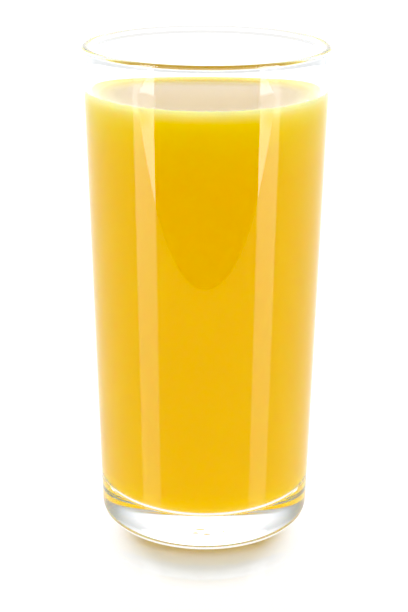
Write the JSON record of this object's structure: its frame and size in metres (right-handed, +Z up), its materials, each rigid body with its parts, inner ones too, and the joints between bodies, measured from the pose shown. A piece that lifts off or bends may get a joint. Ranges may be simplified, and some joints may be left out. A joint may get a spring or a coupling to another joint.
{
  "type": "glass of orange juice",
  "caption": "Tall slightly tapered drinking glass with a thick clear base and rounded lip, filled with smooth orange juice to just under the rim.",
  "frame": {"origin": "centre of the plane the glass stands on, under the middle of the base", "axes": "+Z up along the glass's axis of symmetry, which is also its longest extent; X and Y are free because the part is turned"},
  "size_m": [0.0698, 0.0698, 0.1428],
  "materials": {
    "clear_glass": "clear, polished",
    "juice": "wet, cloudy orange juice"
  },
  "bodies": {
    "root": {"glass": "clear_glass", "orange_juice": "juice"}
  },
  "joints": []
}
